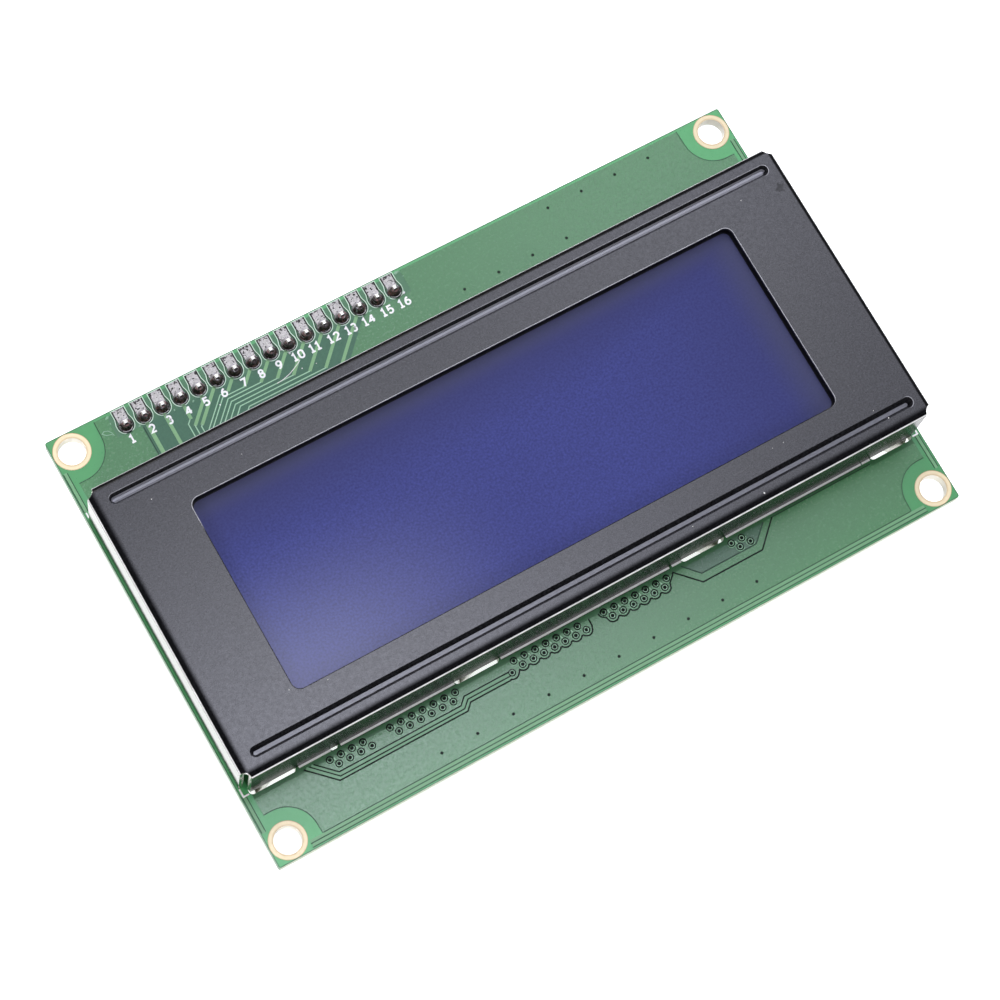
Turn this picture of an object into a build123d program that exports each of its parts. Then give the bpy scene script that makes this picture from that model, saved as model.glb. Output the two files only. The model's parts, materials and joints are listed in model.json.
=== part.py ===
from build123d import *
import os
from math import asin, degrees, hypot

os.makedirs("parts", exist_ok=True)

# Character display module: a circuit board with a folded metal frame that clamps the
# display glass, the elastomer strips and the backlight onto it, and a pin header behind.
# All sizes are in millimetres. The origin is the centre of the four mounting holes on the
# board's front face. +X runs along the header, +Y points to the header's edge of the board
# and +Z to the viewer.

# Circuit board
board_length = 98.0
board_width = 60.0
board_thickness = 1.6
board_corner_radius = 0.3

# Mounting holes, each lined with a thin plated eyelet
mounting_hole_inset = 2.5
mounting_hole_radius = 1.75
plating_thickness = 0.05
plating_ring_width = 0.65

# Folded frame
bezel_end_inset = 0.3
bezel_width = 40.1
bezel_height = 8.9
bezel_centre_y = -0.2
sheet_thickness = 0.5
fold_inner_radius = 0.25
corner_relief_radius = 1.05
window_end_border = 10.4
window_side_border = 6.75
window_corner_radius = 1.1
window_shift_x = 0.13
window_shift_y = -0.18

# Two pressed grooves in the frame, which bear on the glass above the elastomer strips
groove_side_inset = 2.55
groove_end_inset = 2.0
groove_shift_x = 0.22
groove_width = 1.4
groove_floor_width = 0.55
groove_depth = 1.0
groove_wall_share = 0.8

# Twisted tabs that hold the frame, and their slots in the board
tab_width = 3.2
tab_reach = 1.9
tab_twist_end = 42.0
tab_offset_in_slot = 0.85
slot_end_clearance = 0.7
slot_side_clearance = 0.4
slot_corner_radius = 0.5
inner_slot_x = 16.3
outer_slot_inset = 4.1
twist_margin = 0.05

# Display glass and its polarising films
glass_end_gap = 1.7
glass_side_gap = 0.85
rear_glass_gap = 0.3
glass_thickness = 1.1
film_thickness = 0.2
film_margin = 2.2

# Elastomer strips between the board and the ledge of the front glass
strip_end_inset = 0.5
strip_width = 2.0

# Backlight
housing_end_inset = 0.2
housing_gap = 0.2
housing_wall = 1.5
housing_floor = 1.0
reflector_thickness = 0.2
diffuser_thickness = 0.4
guide_side_gap = 0.1
led_board_thickness = 0.8
led_board_end_gap = 2.8
led_board_edge_gap = 0.2
led_count = 6
led_width = 3.0
led_height = 1.6
led_depth = 1.0
led_gap_to_guide = 0.15
lead_radius = 0.3
lead_inset = 2.0
lead_clearance = 0.05
lead_tip = 0.2
lead_solder_radius = 0.9
lead_solder_height = 0.6

# Pin header
pin_count = 16
pin_pitch = 2.54
first_pin_inset = 9.9
pin_row_inset = 2.5
pin_size = 0.64
pin_front_reach = 1.3
pin_back_reach = 6.0
pin_tip_chamfer = 0.15
header_body_width = 2.54
header_body_height = 2.54
header_body_chamfer = 0.5
pin_hole_clearance = 0.05

# Solder pads at the header
pad_thickness = 0.05
pad_ring_width = 0.42
pad_neck_width = 1.5
pad_edge_gap = 0.25
solder_rim = 0.08
solder_skin = 0.07
solder_height = 0.9

# Plated through holes in groups beside the frame's front wall: each group's distance from
# the frame's left end, and how many it has in its upper and its lower row
via_radius = 0.15
via_pitch = 1.52
via_stagger = 0.78
via_upper_gap = 1.15
via_row_gap = 0.9
via_group_insets = (11.3, 19.6, 37.0, 49.9, 68.6)
via_group_counts = ((4, 4), (7, 6), (7, 7), (7, 6), (2, 2))
lone_via_inset = 36.1
lone_via_gap = 2.35

# Small stitching holes in three rows
stitch_radius = 0.17
stitch_pitch = 5.03
upper_stitch_x = 22.1
upper_stitch_inset = 1.8
upper_stitch_count = 4
middle_stitch_x = 7.05
middle_stitch_inset = 6.5
middle_stitch_count = 4
lower_stitch_x = -25.1
lower_stitch_inset = 2.85
lower_stitch_count = 10

# Tooling hole half under the frame's front wall
tooling_hole_radius = 0.6
tooling_hole_inset = 12.5

# Epoxy covers over the driver chips on the back
chip_cover_radius = 8.0
chip_cover_height = 1.6
chip_cover_end_inset = 21.0
chip_cover_count = 3
chip_cover_y = -5.0

# Chip resistors and capacitors on the back
chip_part_length = 2.0
chip_part_width = 1.25
resistor_height = 0.5
capacitor_height = 1.0
terminal_length = 0.35
terminal_swell = 0.04
resistor_count = 8
resistor_first_x = -14.0
resistor_pitch = 4.0
chip_part_row_y = 13.5
capacitor_gap = 8.0

# Worked-out sizes, places and heights
hole_spacing_x = board_length - 2 * mounting_hole_inset
hole_spacing_y = board_width - 2 * mounting_hole_inset
plating_ring_radius = mounting_hole_radius + plating_ring_width
bezel_length = board_length - 2 * bezel_end_inset
inside_length = bezel_length - 2 * sheet_thickness
inside_width = bezel_width - 2 * sheet_thickness
fold_outer_radius = fold_inner_radius + sheet_thickness
wall_mid_y = bezel_width / 2 - sheet_thickness / 2
bezel_left_x = -bezel_length / 2
bezel_front_y = bezel_centre_y - bezel_width / 2
window_length = bezel_length - 2 * window_end_border
window_width = bezel_width - 2 * window_side_border
groove_spacing = bezel_width - 2 * groove_side_inset
groove_length = bezel_length - 2 * groove_end_inset
slot_length = tab_width + 2 * tab_offset_in_slot + 2 * slot_end_clearance
slot_width = sheet_thickness + 2 * slot_side_clearance
slot_places_x = (inner_slot_x, bezel_length / 2 - outer_slot_inset)
glass_length = inside_length - 2 * glass_end_gap
front_glass_width = inside_width - 2 * glass_side_gap
rear_glass_width = groove_spacing - strip_width - 2 * rear_glass_gap
front_glass_top = bezel_height - groove_depth - sheet_thickness
front_glass_bottom = front_glass_top - glass_thickness
rear_glass_bottom = front_glass_bottom - glass_thickness
rear_film_bottom = rear_glass_bottom - film_thickness
film_length = window_length + 2 * film_margin
film_width = window_width + 2 * film_margin
strip_length = glass_length - 2 * strip_end_inset
housing_length = glass_length - 2 * housing_end_inset
housing_width = groove_spacing - strip_width - 2 * housing_gap
guide_bottom = housing_floor + reflector_thickness
guide_top = rear_film_bottom - diffuser_thickness
cavity_length = housing_length - 2 * housing_wall
cavity_width = housing_width - 2 * housing_wall
led_board_width = cavity_width - 2 * led_board_end_gap
led_board_bottom = guide_bottom + led_board_edge_gap
led_board_top = guide_top - led_board_edge_gap
led_board_x = -cavity_length / 2 + led_board_thickness / 2
led_pitch = led_board_width / led_count
led_x = led_board_x + led_board_thickness / 2 + led_depth / 2
led_mid_z = (guide_bottom + guide_top) / 2
guide_left = led_x + led_depth / 2 + led_gap_to_guide
guide_right = cavity_length / 2 - guide_side_gap
lead_spacing = led_board_width - 2 * lead_inset
pin_row_y = board_width / 2 - pin_row_inset
first_pin_x = -board_length / 2 + first_pin_inset
pin_corner_radius = hypot(pin_size, pin_size) / 2
pin_hole_radius = pin_corner_radius + pin_hole_clearance
pad_radius = pin_hole_radius + pad_ring_width
solder_base_radius = pad_radius - solder_rim
solder_top_radius = pin_corner_radius + solder_skin
board_back = -board_thickness
header_body_bottom = board_back - header_body_height
pin_bottom = header_body_bottom - pin_back_reach
chip_cover_spacing = (board_length - 2 * chip_cover_end_inset) / (chip_cover_count - 1)

corner_signs = ((-1, -1), (-1, 1), (1, -1), (1, 1))
hole_places = [(sx * hole_spacing_x / 2, sy * hole_spacing_y / 2) for sx, sy in corner_signs]
pin_places = [(first_pin_x + i * pin_pitch, pin_row_y) for i in range(pin_count)]
lead_places = [(led_board_x, bezel_centre_y + s * lead_spacing / 2) for s in (-1, 1)]


def block(length, width, low, high, x=0.0, y=0.0):
    """An upright box between two heights, centred on x and y."""
    return Pos(x, y, (low + high) / 2) * Box(length, width, high - low)


def post(radius, low, high, x=0.0, y=0.0):
    """An upright cylinder between two heights."""
    return Pos(x, y, (low + high) / 2) * Cylinder(radius, high - low)


def via_places():
    """Centres of the plated through holes beside the frame's front wall."""
    upper_y = bezel_front_y - via_upper_gap
    lower_y = upper_y - via_row_gap
    places = [(bezel_left_x + lone_via_inset, bezel_front_y - lone_via_gap)]
    for inset, (upper_count, lower_count) in zip(via_group_insets, via_group_counts):
        first_x = bezel_left_x + inset
        places += [(first_x + i * via_pitch, upper_y) for i in range(upper_count)]
        places += [(first_x + via_stagger + i * via_pitch, lower_y) for i in range(lower_count)]
    return places


def stitch_places():
    """Centres of the small stitching holes."""
    upper_y = board_width / 2 - upper_stitch_inset
    middle_y = board_width / 2 - middle_stitch_inset
    lower_y = -board_width / 2 + lower_stitch_inset
    places = [(upper_stitch_x + i * stitch_pitch, upper_y) for i in range(upper_stitch_count)]
    places += [(middle_stitch_x + i * stitch_pitch, middle_y) for i in range(middle_stitch_count)]
    places += [(lower_stitch_x + i * stitch_pitch, lower_y) for i in range(lower_stitch_count)]
    return places


def make_circuit_board():
    """The board with every hole and slot cut through it."""
    outline = RectangleRounded(board_length, board_width, board_corner_radius)
    slot = RectangleRounded(slot_length, slot_width, slot_corner_radius)
    for side in (-1, 1):
        for sx in (-1, 1):
            for x in slot_places_x:
                outline -= Pos(sx * x, bezel_centre_y + side * wall_mid_y) * slot
    for place in hole_places:
        outline -= Pos(*place) * Circle(mounting_hole_radius + plating_thickness)
    for place in pin_places:
        outline -= Pos(*place) * Circle(pin_hole_radius)
    for place in lead_places:
        outline -= Pos(*place) * Circle(lead_radius + lead_clearance)
    for place in via_places():
        outline -= Pos(*place) * Circle(via_radius)
    for place in stitch_places():
        outline -= Pos(*place) * Circle(stitch_radius)
    tooling_place = (bezel_left_x + tooling_hole_inset, bezel_front_y + sheet_thickness / 2)
    outline -= Pos(*tooling_place) * Circle(tooling_hole_radius)
    return Pos(0, 0, board_back) * extrude(outline, board_thickness)


def make_mounting_hole_plating():
    """Four plated eyelets: a barrel with a ring on each face of the board."""
    eyelets = []
    for x, y in hole_places:
        barrel = post(mounting_hole_radius + plating_thickness, board_back, 0, x, y)
        front_ring = post(plating_ring_radius, 0, plating_thickness, x, y)
        back_ring = post(plating_ring_radius, board_back - plating_thickness, board_back, x, y)
        low = board_back - 2 * plating_thickness
        hole = post(mounting_hole_radius, low, 2 * plating_thickness, x, y)
        eyelets.append(barrel + front_ring + back_ring - hole)
    return eyelets


def groove_form(length, width, floor_width, top, depth):
    """A long sunk form with sloping sides and round ends."""
    shrink = width - floor_width
    upper = Pos(0, 0, top) * SlotOverall(length, width)
    lower = Pos(0, 0, top - depth) * SlotOverall(length - shrink, floor_width)
    return loft([upper, lower], ruled=True)


def twisted_tab(x, y, turn):
    """A tab that leaves the wall straight, turns in its slot and turns further behind the board."""
    slot_turn = degrees(asin((slot_side_clearance - twist_margin) / (tab_width / 2)))
    turns = (0, turn * slot_turn, turn * tab_twist_end)
    heights = (0, board_back, board_back - tab_reach)
    section = Rectangle(tab_width, sheet_thickness)
    rings = [Pos(x, y, z) * Rot(0, 0, a) * section for z, a in zip(heights, turns)]
    return loft(rings[0:2], ruled=True) + loft(rings[1:3], ruled=True)


def make_bezel_frame():
    """One folded sheet: open corners, a window, two pressed grooves and eight twisted tabs."""
    under_sheet = bezel_height - sheet_thickness
    outside = block(bezel_length, bezel_width, 0, bezel_height)
    outside = fillet(outside.faces().sort_by(Axis.Z)[-1].edges(), fold_outer_radius)
    inside = block(inside_length, inside_width, 0, under_sheet)
    inside = fillet(inside.faces().sort_by(Axis.Z)[-1].edges(), fold_inner_radius)
    frame = outside - inside
    for sx, sy in corner_signs:
        frame -= post(corner_relief_radius, 0, bezel_height, sx * bezel_length / 2, sy * bezel_width / 2)
    window = RectangleRounded(window_length, window_width, window_corner_radius)
    frame -= Pos(window_shift_x, window_shift_y, under_sheet) * extrude(window, sheet_thickness)
    grown = 2 * groove_wall_share * sheet_thickness
    for side in (-1, 1):
        place = Pos(groove_shift_x, side * groove_spacing / 2, 0)
        wall = groove_form(groove_length + grown, groove_width + grown,
                           groove_floor_width + grown, under_sheet, groove_depth)
        sunk = groove_form(groove_length, groove_width, groove_floor_width, bezel_height, groove_depth)
        frame = frame + place * wall - place * sunk
    frame = Pos(0, bezel_centre_y, 0) * frame
    for side in (-1, 1):
        for sx in (-1, 1):
            for x in slot_places_x:
                tab_x = sx * (x + tab_offset_in_slot)
                frame += twisted_tab(tab_x, bezel_centre_y + side * wall_mid_y, side * sx)
    return frame


def make_display_stack():
    """Polarising films and the two glasses, from the window down."""
    y = bezel_centre_y
    return {
        "front_polarizer": block(film_length, film_width, front_glass_top,
                                 front_glass_top + film_thickness, y=y),
        "front_glass": block(glass_length, front_glass_width, front_glass_bottom, front_glass_top, y=y),
        "rear_glass": block(glass_length, rear_glass_width, rear_glass_bottom, front_glass_bottom, y=y),
        "rear_polarizer": block(film_length, film_width, rear_film_bottom, rear_glass_bottom, y=y),
    }


def make_elastomer_strip(side):
    """A conductive elastomer strip, squeezed between the board and the front glass."""
    y = bezel_centre_y + side * groove_spacing / 2
    return block(strip_length, strip_width, 0, front_glass_bottom, y=y)


def make_backlight():
    """White housing, films, light guide, and the small board with its light emitting diodes."""
    y = bezel_centre_y
    housing = block(housing_length, housing_width, 0, rear_film_bottom, y=y)
    housing -= block(cavity_length, cavity_width, housing_floor, rear_film_bottom, y=y)
    for place in lead_places:
        housing -= post(lead_radius + lead_clearance, 0, housing_floor, *place)
    guide_length = guide_right - guide_left
    guide_x = (guide_left + guide_right) / 2
    guide_width = cavity_width - 2 * guide_side_gap
    nodes = {
        "backlight_housing": housing,
        "reflector_film": block(guide_length, guide_width, housing_floor, guide_bottom, guide_x, y),
        "light_guide": block(guide_length, guide_width, guide_bottom, guide_top, guide_x, y),
        "diffuser_film": block(guide_length, guide_width, guide_top, rear_film_bottom, guide_x, y),
        "led_board": block(led_board_thickness, led_board_width, led_board_bottom, led_board_top,
                           led_board_x, y),
    }
    for i in range(led_count):
        led_y = y + (i - (led_count - 1) / 2) * led_pitch
        led = block(led_depth, led_width, led_mid_z - led_height / 2, led_mid_z + led_height / 2, led_x, led_y)
        nodes[f"backlight_led_{i + 1}"] = led
    lead_bottom = board_back - lead_solder_height - lead_tip
    for name, place in zip(("cathode", "anode"), lead_places):
        nodes[f"backlight_lead_{name}"] = post(lead_radius, lead_bottom, led_board_bottom, *place)
    return nodes


def make_lead_solder():
    """A solder cone around each backlight lead behind the board."""
    joints = []
    for x, y in lead_places:
        low = board_back - lead_solder_height
        cone = Cone(lead_radius + lead_clearance, lead_solder_radius, lead_solder_height)
        joints.append(Pos(x, y, (low + board_back) / 2) * cone - post(lead_radius, low, board_back, x, y))
    return joints


def make_header_body():
    """The plastic strip of the header, with a waist between every two pins."""
    segment = block(pin_pitch, header_body_width, header_body_bottom, board_back)
    segment = chamfer(segment.edges().filter_by(Axis.Z), header_body_chamfer)
    pin_way = block(pin_size, pin_size, header_body_bottom, board_back)
    segment -= pin_way
    body = Pos(*pin_places[0]) * segment
    for place in pin_places[1:]:
        body += Pos(*place) * segment
    return body


def make_pin(x, y):
    """A square pin with chamfered ends, from behind the board to just above its front face."""
    pin = block(pin_size, pin_size, pin_bottom, pin_front_reach, x, y)
    ends = pin.faces().sort_by(Axis.Z)
    return chamfer(ends[0].edges() + ends[-1].edges(), pin_tip_chamfer)


def make_header_pads():
    """Solder pads: a round end about the pin and a neck that runs towards the board's edge."""
    pads = []
    neck_length = pin_row_inset - pad_edge_gap
    for x, y in pin_places:
        shape = Pos(x, y) * Circle(pad_radius)
        shape += Pos(x, y + neck_length / 2) * Rectangle(pad_neck_width, neck_length)
        shape -= Pos(x, y) * Circle(pin_hole_radius)
        pads.append(extrude(shape, pad_thickness))
    return pads


def make_header_solder():
    """Solder that fills each pin's hole and climbs the pin in a hollow cone."""
    top = pad_thickness + solder_height
    waist = ((solder_base_radius + 2 * solder_top_radius) / 3, pad_thickness + solder_height / 3)
    outline = Polyline((0, top), (0, board_back), (pin_hole_radius, board_back),
                       (pin_hole_radius, pad_thickness), (solder_base_radius, pad_thickness))
    hollow = ThreePointArc((solder_base_radius, pad_thickness), waist, (solder_top_radius, top))
    cap = Line((solder_top_radius, top), (0, top))
    joint = revolve(Plane.XZ * make_face(outline + hollow + cap), Axis.Z)
    joint -= block(pin_size, pin_size, board_back, top)
    return [Pos(x, y) * joint for x, y in pin_places]


def make_chip_cover(x, y):
    """A shallow dome of epoxy on the back of the board."""
    dome_radius = (chip_cover_radius ** 2 + chip_cover_height ** 2) / (2 * chip_cover_height)
    ball = Pos(x, y, board_back - chip_cover_height + dome_radius) * Sphere(dome_radius)
    reach = 3 * chip_cover_radius
    return ball & block(reach, reach, board_back - 2 * chip_cover_height, board_back, x, y)


def make_chip_part(x, y, height):
    """A chip resistor or capacitor with a metal terminal at each end."""
    part = block(chip_part_length, chip_part_width, board_back - height, board_back, x, y)
    swollen = chip_part_width + 2 * terminal_swell
    for side in (-1, 1):
        end_x = x + side * (chip_part_length - terminal_length) / 2
        low = board_back - height - terminal_swell
        part += block(terminal_length, swollen, low, board_back, end_x, y)
    return part


def all_nodes():
    """Every piece by name."""
    nodes = {
        "circuit_board": make_circuit_board(),
        "mounting_hole_plating": Compound(children=make_mounting_hole_plating()),
        "bezel_frame": make_bezel_frame(),
        "elastomer_strip_upper": make_elastomer_strip(1),
        "elastomer_strip_lower": make_elastomer_strip(-1),
        "header_body": make_header_body(),
        "header_pads": Compound(children=make_header_pads()),
        "header_solder": Compound(children=make_header_solder()),
        "lead_solder": Compound(children=make_lead_solder()),
    }
    nodes.update(make_display_stack())
    nodes.update(make_backlight())
    for i, place in enumerate(pin_places):
        nodes[f"header_pin_{i + 1:02d}"] = make_pin(*place)
    for i in range(chip_cover_count):
        x = (i - (chip_cover_count - 1) / 2) * chip_cover_spacing
        nodes[f"chip_cover_{i + 1}"] = make_chip_cover(x, chip_cover_y)
    for i in range(resistor_count):
        x = resistor_first_x + i * resistor_pitch
        nodes[f"chip_resistor_{i + 1}"] = make_chip_part(x, chip_part_row_y, resistor_height)
    resistor_last_x = resistor_first_x + (resistor_count - 1) * resistor_pitch
    for i, x in enumerate((resistor_first_x - capacitor_gap, resistor_last_x + capacitor_gap)):
        nodes[f"chip_capacitor_{i + 1}"] = make_chip_part(x, chip_part_row_y, capacitor_height)
    return nodes


for name, shape in all_nodes().items():
    export_step(shape, f"parts/{name}.step")
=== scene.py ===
import json
import math
import random

import bmesh
import bpy
from mathutils import Matrix, Vector


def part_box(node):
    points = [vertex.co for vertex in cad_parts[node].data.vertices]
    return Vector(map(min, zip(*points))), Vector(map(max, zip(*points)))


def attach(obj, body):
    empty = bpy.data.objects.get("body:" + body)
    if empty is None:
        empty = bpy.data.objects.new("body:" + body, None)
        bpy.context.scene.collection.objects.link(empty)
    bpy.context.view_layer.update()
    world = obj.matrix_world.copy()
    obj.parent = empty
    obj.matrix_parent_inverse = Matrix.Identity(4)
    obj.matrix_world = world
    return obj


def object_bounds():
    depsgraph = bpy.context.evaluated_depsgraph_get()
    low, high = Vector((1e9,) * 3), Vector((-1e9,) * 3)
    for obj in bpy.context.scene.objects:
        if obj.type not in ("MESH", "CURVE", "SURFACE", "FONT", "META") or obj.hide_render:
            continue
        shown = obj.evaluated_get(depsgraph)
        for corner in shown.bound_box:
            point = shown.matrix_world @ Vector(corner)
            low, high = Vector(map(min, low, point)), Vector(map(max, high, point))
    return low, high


# Character display module. Lengths are in millimetres in the part's own frame, and forms are
# scaled to metres when they become pieces. The camera, floor, soft box and lights are in metres.

MM = 0.001
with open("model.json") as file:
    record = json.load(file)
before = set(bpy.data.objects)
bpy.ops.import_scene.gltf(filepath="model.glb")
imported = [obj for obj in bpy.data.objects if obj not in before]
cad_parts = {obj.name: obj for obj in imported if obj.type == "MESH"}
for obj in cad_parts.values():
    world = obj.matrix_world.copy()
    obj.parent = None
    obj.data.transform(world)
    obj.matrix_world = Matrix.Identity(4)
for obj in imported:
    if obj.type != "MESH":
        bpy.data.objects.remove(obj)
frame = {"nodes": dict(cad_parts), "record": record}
nodes = frame["nodes"]
record = frame["record"]
cad_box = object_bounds()
random.seed(20)


def box_mm(node):
    """Lowest and highest corner of a node in millimetres."""
    low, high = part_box(node)
    return low / MM, high / MM


board_low, board_high = box_mm("circuit_board")
bezel_low, bezel_high = box_mm("bezel_frame")
pad_end_y = box_mm("header_pads")[1].y
pin_boxes = [box_mm(f"header_pin_{i:02d}") for i in range(1, 17)]
pin_places = [((low + high) / 2).to_2d() for low, high in pin_boxes]
pin_row_y = pin_places[0].y
pin_pitch = pin_places[1].x - pin_places[0].x
holes = next(m for m in record["mounts"] if m["name"] == "mounting_holes")["dims"]
hole_x = holes["spacing_x_mm"] / 2
hole_y = holes["spacing_y_mm"] / 2
board_x = board_high.x
board_y = board_high.y
bezel_x = bezel_high.x
bezel_width = 40.1
bezel_mid_y = (bezel_low.y + bezel_high.y) / 2
bezel_front = bezel_mid_y - bezel_width / 2
bezel_rear = bezel_mid_y + bezel_width / 2
window_length = 76.6
window_width = 26.6
window_radius = 1.1
window_mid_x = 0.13
window_mid_y = bezel_mid_y - 0.18
groove_mid_x = 0.22
groove_y = 17.5
groove_length = 93.4
groove_width = 1.4

# Heights of the thin layers on the board's front face, and how far the copper reaches
copper_top = 0.035
line_top = 0.04
print_top = 0.055
pour_x = 47.6
pour_top = 29.6
pour_bottom = -28.7

# Through holes of the traces beside the frame's front wall, as the board has them
via_pitch = 1.52
via_stagger = 0.78
via_upper_y = bezel_front - 1.15
via_lower_y = via_upper_y - 0.9
via_groups = ((-37.4, 4, 4), (-29.1, 7, 6), (-11.7, 7, 7), (1.2, 7, 6), (19.9, 2, 2))
lone_via = (-12.6, bezel_front - 2.35)
scalloped_groups = (2, 3)


def upper_vias(group):
    first_x, count, _ = via_groups[group]
    return [(first_x + i * via_pitch, via_upper_y) for i in range(count)]


def lower_vias(group):
    first_x, _, count = via_groups[group]
    return [(first_x + via_stagger + i * via_pitch, via_lower_y) for i in range(count)]


# Materials


def tone(red, green, blue):
    """A screen colour from 0 to 255 as the linear colour that shaders take."""
    def linear(value):
        value /= 255
        return value / 12.92 if value <= 0.04045 else ((value + 0.055) / 1.055) ** 2.4
    return (linear(red), linear(green), linear(blue), 1.0)


class Shading:
    """A tree of shader nodes, built in short calls."""

    def __init__(self, tree):
        self.tree = tree

    def feed(self, socket, value):
        if isinstance(value, bpy.types.NodeSocket):
            self.tree.links.new(value, socket)
        else:
            socket.default_value = value

    def add(self, kind, **inputs):
        """A new node, with values or links for its inputs."""
        node = self.tree.nodes.new("ShaderNode" + kind)
        for name, value in inputs.items():
            self.feed(node.inputs[name.replace("_", " ")], value)
        return node

    def split(self, vector):
        return list(self.add("SeparateXYZ", Vector=vector).outputs)

    def math(self, operation, *values):
        node = self.add("Math")
        node.operation = operation
        for socket, value in zip(node.inputs, values):
            self.feed(socket, value)
        return node.outputs[0]

    def chain(self, operation, first, *others):
        for value in others:
            first = self.math(operation, first, value)
        return first

    def times(self, *values):
        return self.chain("MULTIPLY", *values)

    def plus(self, *values):
        return self.chain("ADD", *values)

    def most(self, *values):
        return self.chain("MAXIMUM", *values)

    def least(self, *values):
        return self.chain("MINIMUM", *values)

    def minus(self, first, second):
        return self.math("SUBTRACT", first, second)

    def absolute(self, value):
        return self.math("ABSOLUTE", value)

    def reach(self, along_x, along_y):
        """How far apart two points are, from their distances along x and y."""
        return self.math("SQRT", self.plus(self.times(along_x, along_x), self.times(along_y, along_y)))

    def ramp(self, value, low, high):
        """0 at low, 1 at high, and smooth between them."""
        node = self.add("MapRange", Value=value, From_Min=low, From_Max=high)
        node.interpolation_type = "SMOOTHSTEP"
        return node.outputs["Result"]


class Surface(Shading):
    """One procedural material. Its lengths are in millimetres and its colours are screen colours."""

    def __init__(self, name, **fixed):
        self.material = bpy.data.materials.new(name)
        self.material.use_nodes = True
        super().__init__(self.material.node_tree)
        self.shader = self.tree.nodes["Principled BSDF"]
        for socket, value in fixed.items():
            self.shader.inputs[socket.replace("_", " ")].default_value = value
        self.place = self.add("TexCoord").outputs["Object"]

    def set(self, name, value):
        self.feed(self.shader.inputs[name], value)

    def axes(self):
        return self.split(self.add("Mapping", Vector=self.place, Scale=[1 / MM] * 3).outputs[0])

    def between(self, value, low, high, soft):
        """1 between two values and 0 outside them, with soft edges."""
        rise = self.ramp(value, low - soft, low + soft)
        return self.times(rise, self.ramp(value, high + soft, high - soft))

    def noise(self, size, detail=3, stretch=(1, 1, 1), distortion=0.0):
        """Noise whose features are about size across."""
        place = self.add("Mapping", Vector=self.place, Scale=stretch).outputs[0]
        node = self.add("TexNoise", Vector=place, Scale=1 / (size * MM), Detail=detail, Distortion=distortion)
        return node.outputs["Fac"]

    def spread(self, noise, low, high):
        """Noise turned into a value between low and high."""
        node = self.add("MapRange", Value=noise, From_Min=0.3, From_Max=0.7, To_Min=low, To_Max=high)
        return node.outputs["Result"]

    def mix(self, factor, first, second):
        node = self.add("Mix")
        node.data_type = "RGBA"
        self.feed(node.inputs["Factor"], factor)
        sockets = [s for s in node.inputs if s.type == "RGBA"]
        for socket, colour in zip(sockets, (first, second)):
            self.feed(socket, tone(*colour) if isinstance(colour, tuple) else colour)
        return [s for s in node.outputs if s.type == "RGBA"][0]

    def grain(self, size, first, second, **shape):
        """Two colours mixed by noise."""
        return self.mix(self.noise(size, **shape), first, second)

    def speckle(self, size, first, second, detail=2):
        """Two colours mixed by noise of full contrast."""
        return self.mix(self.spread(self.noise(size, detail), 0, 1), first, second)

    def bump(self, height, strength, distance):
        """Bump whose full height is distance."""
        node = self.add("Bump", Strength=strength, Distance=distance * MM, Height=height)
        self.set("Normal", node.outputs["Normal"])

    def rounded_distance(self, x, y, middle, length, width, radius):
        """Distance from a rounded rectangle's outline, positive outside it."""
        reaches = []
        for value, centre, half in ((x, middle[0], length / 2), (y, middle[1], width / 2)):
            away = self.absolute(self.minus(value, centre))
            reaches.append(self.most(self.minus(away, half - radius), 0.0))
        return self.minus(self.reach(*reaches), radius)

    def hole_distance(self, x, y):
        """Distance from the middle of the nearest mounting hole."""
        return self.reach(self.minus(self.absolute(x), hole_x), self.minus(self.absolute(y), hole_y))

    def side_faces(self):
        """1 on upright faces such as the board's edges and hole walls."""
        normal = self.add("NewGeometry").outputs["Normal"]
        return self.ramp(self.absolute(self.split(normal)[2]), 0.75, 0.45)


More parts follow.
